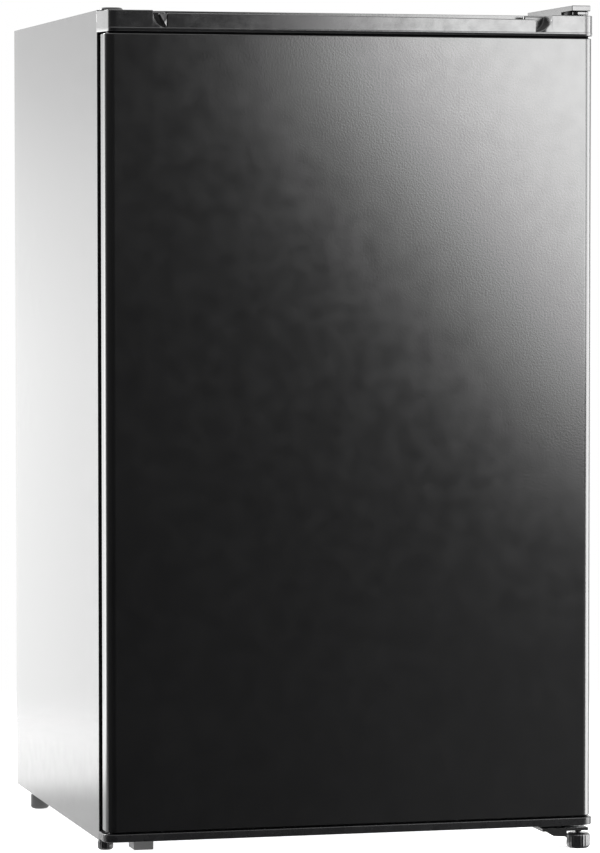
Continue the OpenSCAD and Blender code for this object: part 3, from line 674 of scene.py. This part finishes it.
def build_top_cap():
    """Top cap: end blocks with soft corners, a notch at each end of the grip lip and a pocket behind it."""
    cap = span("door_top_cap")
    x1, y0, y1, z1 = cap.x1, cap.y0, cap.y1, cap.z1
    low = span("door_panel").z1 + REVEAL
    bowl, left_bowl, bowl_x, lip_x, lip, wall = 16, 12.5, 180, 179.5, 8.5, y1 - 6
    facet, facet_slope, facet_end = 7.26, 4.04, 12.74

    def front_at(x):
        """Front face: a soft corner at the right end, a round corner and then a flat facet at the left."""
        end = x1 - abs(x)
        if x > 0:
            return y0 + 17.5 * (1 - (1 - max(0, 1 - end / 12) ** 2.3) ** (1 / 2.3))
        if end < 5.7:
            return y0 + 28.5 - facet_slope * end
        return y0 + facet - math.sqrt(facet ** 2 - max(0, facet_end - end) ** 2)

    def section(x):
        """Outline of the cap at x, over the front, down into the grip and up its rear wall."""
        front = front_at(x)
        u = x / lip_x
        wide = bowl if x > 0 else left_bowl
        depth = bowl * math.sqrt(max(0, 1 - (max(0, abs(x) - bowl_x) / wide) ** 2))
        floor = z1 - (depth if abs(x) < bowl_x + wide else 0)
        top = floor
        if abs(x) < lip_x:
            top = z1 - 3.1 - 0.9 * u - 0.3 * u * u - 2.2 * max(0, (abs(x) - lip_x + 2.2) / 2.2) ** 2.5
        behind = z1 - 5.2 if abs(x) < lip_x - 4 else z1
        a = min(1.4, top - floor)
        b = min(1.2, behind - floor)
        outline = [
            (y1, low), (front + 2.0, low), (front + 0.8, low + 0.3), (front + 0.2, low + 1.2),
            (front, low + 2.6), (front, low + 3.3), (front + 0.12, low + 3.7), (front + 0.4, low + 3.8),
            (front + 0.4, top - 0.7), (front + 0.6, top - 0.2), (front + 1.1, top),
            (front + lip - a, top), (front + lip, top - a), (front + lip, floor + 0.9 * a),
            (front + lip + a, floor), (wall - b, floor), (wall, floor + 0.9 * b), (wall, behind - b),
            (wall + 0.8 * b, behind), (y1 - 1.2, behind), (y1, behind - 1.2),
        ]
        return [(x, min(y, y1 - 0.6), z) for y, z in outline]

    grip = [0, 60, 120, 160, 173, 175.4, 175.5, 177.3, 177.9, 178.5, 179, 179.3, 179.45, 179.5]
    block = [x1 - 12 + 12 * t for t in (-0.3, 0, 0.2, 0.4, 0.55, 0.68, 0.79, 0.88, 0.94, 0.98, 1)]
    left_block = [x1 - t for t in (16, facet_end, 11.4, 10.2, 9, 8, 7.2, 6.5, 6, 5.71, 5.69, 0)]
    turns = [math.sin(math.radians(a)) for a in (0, 15, 30, 42, 54, 64, 72, 79, 85, 89.9, 90)]
    left = [-p for p in grip[1:] + [bowl_x + left_bowl * t for t in turns] + left_block]
    right = grip + [bowl_x + bowl * t for t in turns] + block
    mesh = bmesh.new()
    loft(mesh, [section(x) for x in left[::-1] + right])
    tongue = [(1 - lip_x, z1 - 15.5), (-1 - lip_x, z1 - 15.5), (-6.6 - lip_x, z1 - 4.2),
              (-6.2 - lip_x, z1 - 2.9), (1 - lip_x, z1 - 2.9)]
    loft(mesh, [[(x, y, z) for x, z in tongue] for y in (y0 + 0.4, y0 + lip)])
    bmesh.ops.recalc_face_normals(mesh, faces=mesh.faces)
    piece("door-top-cap", mesh, "door_top_cap", 0)


def build_gasket():
    """Magnetic seal: a flat face, a bellows behind it and a foot pressed into the liner."""
    x0, x1, y0, y1, z0, z1 = span("door_gasket")
    width, depth = 16, y1 - y0
    side = [(0.6, 0), (0, 0.10), (1.6, 0.22), (1.6, 0.34), (0.2, 0.46), (0, 0.9), (0.5, 1.0)]
    levels = [(i, y0 + depth * t) for i, t in side] + [(width - i, y0 + depth * t) for i, t in side[::-1]]
    mesh = bmesh.new()
    stack(mesh, "y", (x0, x1, z0, z1, 5), levels, 3, endless=True)
    piece("door-gasket", mesh, "door_gasket", 0.2, 40)


def build_door_liner():
    """Vacuum-formed lining: a flat border, a rounded dike round the inside of the door and rack seats."""
    x0, x1, _, y1, z0, z1 = span("door_liner")
    plate = span("door_gasket").y0
    half, low, high = 193.5, 66, 750
    foot, edge, dike = 5, 4, 14
    turns = [k * math.pi / 6 for k in range(4)]
    levels = [(-foot, plate, 30)]
    levels += [(foot * (math.sin(a) - 1), plate + foot * (1 - math.cos(a)), 26) for a in turns[1:]]
    levels.append((2.5, y1 - edge, 24))
    levels += [(2.5 + edge * (1 - math.cos(a)), y1 - edge + edge * math.sin(a), 22) for a in turns[1:]]
    levels += [(12 - edge + edge * math.sin(a), y1 - edge + edge * math.cos(a), 16) for a in turns]
    levels.append((dike, plate + foot, 14))
    levels += [(dike + foot * (1 - math.cos(a)), plate + foot - 4.6 * math.sin(a), 12) for a in turns[1:]]
    border = rounded(x0 + 3, x1 - 3, z0, z1, 6, 6)
    rings = [[(x, depth, z) for x, z in border] for depth in (plate - 2, plate)]
    for inset, depth, corner in levels:
        line = rounded(inset - half, half - inset, low + inset, high - inset, corner, 6)
        rings.append([(x, depth, z) for x, z in line])
    mesh = bmesh.new()
    loft(mesh, rings)
    for rack in ("upper_door_rack", "middle_door_rack", "bottle_rack"):
        box = span(rack)
        for x, s in ((box.x0, -1), (box.x1, 1)):
            if abs(x) > 170:
                near, far = sorted((x + s * 3, x - s * 4))
                pillow(mesh, "x", (plate + 12, plate + 26, box.z0 - 9, box.z0 - 1.5, 3), near, far, 1.5, 3)
    piece("door-liner", mesh, "door_liner", 0)


# ---------- cabinet ----------

# Crown of the side panels at their middle.
BOW = 1.0


def build_side_panels():
    """Painted sheets with a rolled front fold, a slight crown and a lip round the back."""
    roll, lip, sheet, flange, steps = 1.0, 1.5, 0.8, 14, 16
    for node, s in (("left_side_panel", -1), ("right_side_panel", 1)):
        x0, x1, y0, y1, z0, z1 = span(node)
        out, inn = (x0, x1) if s < 0 else (x1, x0)

        def section(crown):
            face = []
            for k in range(steps + 1):
                y = y0 + roll + (y1 - lip - y0 - roll) * k / steps
                u = 2 * k / steps - 1
                face.append((out + s * BOW * crown * (1 - u * u), y))
            fold = [(out - s * roll * (1 - math.cos(a)), y0 + roll * (1 - math.sin(a)))
                    for a in (math.pi / 2, math.pi / 3, math.pi / 6)]
            back = [(out - s * lip * (1 - math.cos(a)), y1 - lip * (1 - math.sin(a)))
                    for a in (math.pi / 6, math.pi / 3, math.pi / 2)]
            outer = [(inn, y0)] + fold + face + back + [(out - s * flange, y1)]
            inner = ([(inn, y0 + sheet)] + [(x - s * sheet, y + sheet * 0.5) for x, y in fold]
                     + [(x - s * sheet, y) for x, y in face] + [(x - s * sheet, y - sheet) for x, y in back]
                     + [(out - s * flange, y1 - sheet)])
            return outer + inner[::-1]

        rings = []
        for k in range(steps + 1):
            t = k / steps
            z = z0 + (z1 - z0) * t
            u = 2 * t - 1
            rings.append([(x, y, z) for x, y in section(1 - u * u)])
        mesh = bmesh.new()
        loft(mesh, rings)
        bmesh.ops.recalc_face_normals(mesh, faces=mesh.faces)
        piece(node.replace("_", "-"), mesh, node, 0.3, 60, 2)


def build_top_panel():
    """Top sheet, folded down at the front between the side panels."""
    dressed("top_panel", 0.35, 40, 2)


def raised(mesh, axis, box, place, height, flank=4.0):
    """Pressed bead or pad with sloping flanks, standing on a sheet."""
    stack(mesh, axis, box, [(0, place), (flank * 0.35, place + height * 0.75), (flank * 0.7, place + height),
                            (flank, place + height)], 5)


def build_back_panel():
    """Flat rear sheet with two pressed fields and screws along its edges, and foam trimmed to clear it."""
    x0, x1, y0, y1, z0, z1 = span("back_panel")
    face = y1 - 1.8
    mouth = span("cabinet_foam").y0

    def trim(vertex):
        if vertex.co.y > (y0 - 1) * MM:
            vertex.co.y -= 3 * MM
        elif vertex.co.y < (mouth + 1) * MM:
            vertex.co.y += 2 * MM

    dressed("cabinet_foam", 0, change=trim)
    mesh = bmesh.new()
    pillow(mesh, "y", (x0 + 0.6, x1 - 0.6, z0, z1, 1.5), face - 0.8, face, 0.3, 2)
    for low, high in ((z0 + 45, z0 + 285), (z0 + 315, z1 - 45)):
        raised(mesh, "y", (x0 + 50, x1 - 50, low, high, 22), face - 0.1, 1.6, 6)
    bmesh.ops.recalc_face_normals(mesh, faces=mesh.faces)
    piece("back-panel", mesh, "back_panel", 0.0)
    mesh = bmesh.new()
    places = [(x, z) for x in (x0 + 22, x1 - 22) for z in (z0 + 30, 340, 490, 640, z1 - 24)]
    places += [(x, z) for x in (-110, 0, 110) for z in (z0 + 12, z1 - 12)]
    for x, z in places:
        screw_head(mesh, (x, face, z), "y", 3.6)
    piece("back-screws", mesh, "top_hinge_screws", 0.0, hides=False)


def screw_head(mesh, centre, axis, r, height=1.6):
    """Pan head with a cross recess, facing along an axis."""
    def recess(a, radius):
        if radius > 0.62 * r or radius < 0.05 * r:
            return 1
        return 1 if abs(math.sin(2 * a)) < 0.55 else 0.45

    profile = [(r, 0), (r, 0.25 * height), (0.86 * r, 0.75 * height), (0.66 * r, height),
               (0.6 * r, height), (0.5 * r, 0.35 * height), (0.02 * r, 0.3 * height)]
    lathe(mesh, profile, centre, axis, 32, recess)


# Rails of the drip tray, the upper and middle shelves and the crisper cover: (top, front, back).
RAILS = [(615.7, -95, 150), (473.7, -80, 184.5), (347.7, -80, 184.5), (221.7, -80, 47)]


def build_liner():
    """Vacuum-formed cavity with wide fillets, the hump at the back, shelf rails and a flanged mouth."""
    _, x1, y0, _, z0, z1 = span("inner_liner")
    half, back, low, high = 203.5, 189.5, 56, 759
    hump_y, hump_z, fillet = 47.5, 217, 13
    outline = [(y0, low), (hump_y, low), (hump_y, hump_z), (back, hump_z), (back, high), (y0, high)]
    mesh = bmesh.new()
    left = [mesh.verts.new((-half * MM, y * MM, z * MM)) for y, z in outline]
    right = [mesh.verts.new((half * MM, y * MM, z * MM)) for y, z in outline]
    for i in range(len(outline) - 1):
        mesh.faces.new((left[i], left[i + 1], right[i + 1], right[i]))
    mesh.faces.new(left[::-1])
    mesh.faces.new(right)
    sharp = [e for e in mesh.edges if not e.is_boundary and e.calc_face_angle(0) > 0.5]
    bmesh.ops.bevel(mesh, geom=sharp, offset=fillet * MM, segments=5, profile=0.5, affect="EDGES",
                    clamp_overlap=True)
    rim = [e for e in mesh.edges if e.is_boundary]
    for grown in bmesh.ops.extrude_edge_only(mesh, edges=rim)["geom"]:
        if isinstance(grown, bmesh.types.BMVert):
            across = grown.co.x / (half * MM)
            upward = (grown.co.z / MM - (low + high) / 2) * 2 / (high - low)
            reach = max(abs(across), abs(upward))
            grown.co.x = across / reach * x1 * MM
            grown.co.z = ((z0 + z1) / 2 + upward / reach * (z1 - z0) / 2) * MM
            grown.co.y += 0.3 * MM
    bmesh.ops.recalc_face_normals(mesh, faces=mesh.faces)
    for top, front, rear in RAILS:
        for s in (-1, 1):
            inner, outer = sorted((s * 193.5, s * 205))
            pillow(mesh, "y", (inner, outer, top - 6, top, 2.2), front, rear, 2, 3)
    obj = piece("inner-liner", mesh, "inner_liner", 0)
    obj.modifiers.clear()
    shell = obj.modifiers.new("thickness", "SOLIDIFY")
    shell.thickness = 0.8 * MM
    shell.offset = 0
    obj.modifiers.new("shading", "WEIGHTED_NORMAL")


# ---------- shelves, racks and drawer ----------

def build_shelves():
    """Glass panes with polished edges, each in a plastic front trim that clips over it."""
    for name in ("upper_shelf", "middle_shelf", "crisper_cover"):
        x0, x1, y0, y1, z0, z1 = span(name + "_glass")
        mesh = bmesh.new()
        pillow(mesh, "z", (x0, x1, y0, y1, 5), z0, z1, 0.9)
        piece(name.replace("_", "-") + "-glass", mesh, name + "_glass")
        x0, x1, y0, y1, z0, z1 = span(name + "_trim")
        over = [(y1 + 7, z1 - 6.2), (y1 + 7, z1 - 4.6)] + arc(y1, z1 - 3.6, 1.0, 20, 90, 3)
        nose = arc(y0 + 4, z1 - 4, 4, 90, 180, 5) + arc(y0 + 2.5, z0 + 2.5, 2.5, 180, 270, 4)
        under = [(y1 - 1, z0), (y1 + 7, z0 + 2.4), (y1 + 7, z1 - 12.4), (y1 + 1, z1 - 12.4),
                 (y1 + 1, z1 - 6.2)]
        mesh = bmesh.new()
        loft(mesh, [[(x, y, z) for y, z in over + nose + under] for x in (x0, x1)])
        bmesh.ops.recalc_face_normals(mesh, faces=mesh.faces)
        piece(name.replace("_", "-") + "-trim", mesh, name + "_trim", 0.5, 50)


def build_racks():
    """Door racks: drafted troughs with ribs, and a retaining bar on posts round the bottle rack."""
    for node in ("upper_door_rack", "middle_door_rack", "bottle_rack"):
        x0, x1, y0, y1, z0, z1 = span(node)
        top = z1 if node != "bottle_rack" else z0 + 58
        mesh = bmesh.new()
        tub(mesh, (x0, x1, y0, y1, 12), z0, top, 2.5, 5, 1.2)
        ribs = int((x1 - x0) / 34)
        for k in range(ribs):
            x = x0 + 24 + (x1 - x0 - 48) * k / (ribs - 1)
            pillow(mesh, "z", (x - 1.1, x + 1.1, y1 - 1.6, y1 - 0.15, 0.6), z0 + 8, top - 5, 0.4, 2)
        if top < z1:
            bend, inset, middle = 14, 1.6, z1 - 6
            left = [(x0 + inset, y0 + 3), (x0 + inset, y1 - bend), (x0 + inset + bend, y1 - inset)]
            right = [(x1 - inset - bend, y1 - inset), (x1 - inset, y1 - bend), (x1 - inset, y0 + 3)]
            strip(mesh, eased([(x, y, middle) for x, y in left + right], 6), 2.4, 12)
            for x in (x0 + 0.4, x1 - 2.8):
                pillow(mesh, "x", (y0, y0 + 16, top - 8, z1, 4), x, x + 2.4, 0.6, 3)
        piece(node.replace("_", "-"), mesh, node, 0)


def strip(mesh, path, thick, tall):
    """Flat bar standing on edge along a level path."""
    points = [Vector(p) for p in path]
    rings = []
    for i, point in enumerate(points):
        along = (points[min(i + 1, len(points) - 1)] - points[max(i - 1, 0)]).normalized()
        across = along.cross(Vector((0, 0, 1)))
        profile = rounded(-thick / 2, thick / 2, -tall / 2, tall / 2, 0.9, 2)
        rings.append([tuple(point + across * u + Vector((0, 0, v))) for u, v in profile])
    loft(mesh, rings)


def build_can_dispenser():
    """Upright chute for cans, with its edges softened."""
    dressed("can_dispenser", 0.9, 40, 3)


def build_crisper():
    """Drawer with drafted sides, a pull along the front, runners under the floor and ribs on the front."""
    x0, x1, y0, y1, z0, z1 = span("crisper_drawer")
    front = y0 + 8
    mesh = bmesh.new()
    tub(mesh, (x0, x1, front, y1, 10), z0 + 3.7, z1, 2.5, 7, 2.0)
    pillow(mesh, "x", (y0 + 0.5, front + 2, z1 - 15, z1 - 9, 2.2), x0 + 6, x1 - 6, 1.5, 3)
    pillow(mesh, "x", (y0 + 0.5, y0 + 3, z1 - 22, z1 - 9, 1.2), x0 + 6, x1 - 6, 0.8, 3)
    for x in (-150, 150):
        pillow(mesh, "y", (x - 4, x + 4, z0, z0 + 5, 1), front + 8, y1 - 8, 0.6, 2)
    for k in range(9):
        x = x0 + 40 + (x1 - x0 - 80) * k / 8
        pillow(mesh, "z", (x - 1.2, x + 1.2, front - 0.6, front + 1.4, 0.7), z0 + 16, z1 - 32, 0.5, 2)
    piece("crisper-drawer", mesh, "crisper_drawer", 0)


def build_drip_tray():
    """Shallow tray with a sliding flange along each side and a lip at the front."""
    _, x1, y0, y1, z0, z1 = span("drip_tray")
    mesh = bmesh.new()
    tub(mesh, (-190, 190, y0, y1, 9), z0, z1 - 1.2, 2.5, 5, 1.5)
    for s in (-1, 1):
        inner, outer = sorted((s * 188.5, s * x1))
        pillow(mesh, "y", (inner, outer, z1 - 2.2, z1, 0.8), y0 + 8, y1 - 8, 0.6, 2)
    pillow(mesh, "x", (y0, y0 + 5, z1 - 3, z1, 1), -150, 150, 0.8, 2)
    piece("drip-tray", mesh, "drip_tray", 0)


# ---------- freezer and thermostat ----------

def serpentine(x0, x1, y0, y1, runs):
    """Zigzag of straight runs along x, joined at their ends."""
    points = []
    for k in range(runs):
        y = y0 + (y1 - y0) * k / (runs - 1)
        points += [(x0, y), (x1, y)] if k % 2 == 0 else [(x1, y), (x0, y)]
    return points


def build_freezer():
    """Evaporator box with its raised refrigerant channels, its hangers, frame and ribbed flap."""
    x0, x1, y0, y1, z0, z1 = span("evaporator_box")
    dressed("evaporator_box", 0.5, 40, 2)
    mesh = bmesh.new()
    for z in (z1 - 1.0, z0 + 0.3):
        path = [(x, y, z) for x, y in serpentine(x0 + 26, x1 - 26, y0 + 22, y1 - 22, 7)]
        tube(mesh, eased(path, 12), 3.0, 12)
    for x in (x0 + 0.8, x1 - 0.8):
        path = [(x, y, z) for y, z in serpentine(y0 + 20, y1 - 20, z0 + 16, z1 - 16, 4)]
        tube(mesh, eased(path, 10), 2.6, 12)
    piece("evaporator-channels", mesh, "evaporator_box", 0, hides=False)
    dressed("evaporator_hangers", 1.0, 40, 3)
    dressed("freezer_frame", 1.2, 40, 3)
    dressed("freezer_flap", 1.0, 40, 3)
    x0, x1, _, y1, z0, z1 = span("freezer_flap")
    mesh = bmesh.new()
    for k in (0, 1, 3, 4):
        z = z0 + 22 + (z1 - z0 - 44) * k / 4
        pillow(mesh, "x", (y1 - 7.4, y1 - 6.2, z - 1.6, z + 1.6, 0.5), x0 + 60, x1 - 26, 0.4, 2)
    piece("freezer-flap-ribs", mesh, "freezer_flap", 0, hides=False)


def build_thermostat():
    """Housing, a fluted knob with a finger bar, and a ring of growing dots round it."""
    dressed("thermostat_housing", 2.2, 40, 4)
    x0, _, y0, y1, z0, z1 = span("thermostat_knob")
    cy, cz = (y0 + y1) / 2, (z0 + z1) / 2

    def flutes(a, r):
        return 1 - 0.035 * (0.5 + 0.5 * math.cos(18 * a)) if r > 12 else 1

    profile = [(0.5, 1.9), (4, 1.9), (13.2, 1.9), (14.4, 1.4), (16.4, 2.4), (16.9, 4), (16.9, 10.2),
               (15.5, 11), (3, 11.2), (3, 25)]
    mesh = bmesh.new()
    lathe(mesh, profile, (x0, cy, cz), "x", 144, flutes)
    pillow(mesh, "x", (cy - 1.6, cy + 1.6, cz - 12.5, cz + 12.5, 1.4), x0 + 0.2, x0 + 3, 0.8, 3)
    piece("thermostat-knob", mesh, "thermostat_knob", 0)
    face = span("thermostat_housing").x0
    mesh = bmesh.new()
    for k in range(7):
        a = math.radians(-135 + 45 * k)
        y, z = cy + 21.5 * math.sin(a), cz + 21.5 * math.cos(a)
        dot = 1.0 + 0.12 * k
        lathe(mesh, [(dot, -0.25), (dot, 0.3)], (face, y, z), "x", 16)
    piece("thermostat-marks", mesh, "thermostat_switch", 0, hides=False, material=MATERIALS["rubber"])


# ---------- hinges and feet ----------

def build_hinges():
    """Hinge plate, cover and bracket with softened edges, and screws with cross recesses."""
    x0, x1, y0, _, z0, z1 = span("top_hinge_cover")
    dressed("top_hinge_cover", 1.1, 40, 3)
    mesh = bmesh.new()
    pillow(mesh, "z", (x0 + 2.2, x1 - 0.6, y0 + 1.2, y0 + 26, 4.5), z0 - 0.6, z1 - 5.6, 0.7)
    piece("hinge-nose-cover", mesh, "top_hinge_cover", hides=False)
    assign(dressed("top_hinge_plate", 0.3, 40, 2), MATERIALS["phosphated"])
    dressed("bottom_hinge_bracket", 0.4, 40, 2)
    dressed("hinge_washers", 0.3, 40, 2)
    for node in ("top_hinge_screws", "bottom_hinge_screws"):
        mesh = bmesh.new()
        mesh.from_mesh(frame["nodes"][node].data)
        bmesh.ops.remove_doubles(mesh, verts=mesh.verts, dist=WELD)
        if node == "top_hinge_screws":
            x0, x1, y0, y1, _, z1 = span(node)
            for y in (y0 + 4.4, (y0 + y1) / 2, y1 - 4.4):
                screw_head(mesh, ((x0 + x1) / 2, y, z1 - 0.4), "z", 4.0, 1.0)
        piece(node.replace("_", "-"), mesh, node, 0.25, 40)


def build_feet():
    """Screw-in feet with knurled rims, turned rear feet and the moulded front glide."""
    build_screw_foot("right_levelling_foot", 24, 0.035, 0.86, lambda r: [
        (0.3, 0), (0.80 * r, 0), (0.88 * r, 0.5), (r, 2.4), (r, 12.4), (0.96 * r, 13.4), (0.85 * r, 13.6),
        (0.85 * r, 14.4), (3.4, 14.4), (3, 14.8)])
    build_screw_foot("left_levelling_foot", 18, 0.03, 0.8, lambda r: [
        (0.3, 0), (0.75 * r, 0), (0.86 * r, 0.4), (r, 1.8), (r, 7.4), (0.95 * r, 8.4), (0.8 * r, 8.8),
        (3.4, 8.8), (3, 9.2)])
    _, x1, y0, y1, _, z1 = span("rear_feet")
    r = 9.4
    profile = [(0.3, 0), (7.2, 0), (8.4, 0.5), (9.2, 1.6), (r, 3), (r, 14), (8.8, 15), (8.8, 17),
               (r, 18), (r, z1)]
    mesh = bmesh.new()
    for s in (-1, 1):
        lathe(mesh, profile, (s * (x1 - r), (y0 + y1) / 2, 0), "z", 48)
    piece("rear-feet", mesh, "rear_feet", 0)
    assign(dressed("front_glide", 1.0, 40, 3), MATERIALS["grey_plastic"])


def build_screw_foot(node, teeth, depth, bare, profile):
    """Foot turned to a profile of its radius, knurled outside a bare share of it, with its stud on top."""
    x0, x1, y0, y1, z0, z1 = span(node)
    r = (x1 - x0) / 2

    def knurl(a, radius):
        return 1 - (depth * (0.5 + 0.5 * math.cos(teeth * a)) if radius > bare * r else 0)

    mesh = bmesh.new()
    lathe(mesh, profile(r) + [(3, z1 - z0)], ((x0 + x1) / 2, (y0 + y1) / 2, z0), "z", 144, knurl)
    piece(node.replace("_", "-"), mesh, node, 0)


# ---------- compressor niche ----------

def build_niche():
    """Compressor with its seam and process tube, its fittings, and the pipes."""
    dressed("compressor_shell", 0.9, 25, 3)
    cx, cy = 70, 152
    seam = [(64.2, 99.2), (65.3, 100.2), (65.8, 101.9), (65.3, 103.6), (64.2, 104.4)]
    stub = [(cx - 40, cy - 30, 132), (cx - 62, cy - 46, 138), (cx - 70, cy - 50, 158)]
    mesh = bmesh.new()
    lathe(mesh, seam, (cx, cy, 0), "z", 96)
    tube(mesh, eased(stub, 10), 3.2, 16)
    piece("compressor-seam", mesh, "compressor_shell", 0, hides=False)
    for node in ("base_panel", "compressor_rail"):
        dressed(node, 0.35, 40, 2)
    for node in ("evaporation_tray", "relay_cover"):
        dressed(node, 1.0, 40, 2)
    _, x1, y0, y1, z0, z1 = span("relay_cover")
    mesh = bmesh.new()
    for k in range(6):
        z = z0 + 9 + (z1 - z0 - 18) * k / 5
        pillow(mesh, "y", (x1 - 1.4, x1 + 0.5, z - 1.3, z + 1.3, 0.5), y0 + 6, y1 - 6, 0.4, 2)
    piece("relay-cover-ribs", mesh, "relay_cover", 0, hides=False)
    for node in ("compressor_grommets", "cord_gland", "drain_tube"):
        dressed(node, 0.5, 40, 3)
    dressed("filter_drier", 1.2, 25, 3)
    for node in ("suction_pipe", "discharge_pipe", "sensor_tube", "condenser_coils"):
        smooth_tube(node)


def smooth_tube(node):
    """A swept CAD tube with its facets rounded off."""
    mesh = bmesh.new()
    mesh.from_mesh(frame["nodes"][node].data)
    bmesh.ops.remove_doubles(mesh, verts=mesh.verts, dist=WELD)
    bmesh.ops.join_triangles(mesh, faces=mesh.faces, angle_face_threshold=0.6, angle_shape_threshold=0.8)
    obj = piece(node.replace("_", "-"), mesh, node)
    obj.modifiers.clear()
    smooth = obj.modifiers.new("round", "SUBSURF")
    smooth.levels = 1
    smooth.render_levels = 1


add_camera()
add_world()
add_lights()
MATERIALS = make_materials()
for node, obj in frame["nodes"].items():
    assign(obj, MATERIALS[SLOTS[node]])
build_door_panel()
build_door_caps()
build_gasket()
build_door_liner()
build_side_panels()
build_top_panel()
build_back_panel()
build_liner()
build_shelves()
build_racks()
build_can_dispenser()
build_crisper()
build_drip_tray()
build_freezer()
build_thermostat()
build_hinges()
build_feet()
build_niche()
add_floor()

bpy.context.scene.view_settings.view_transform = "Standard"
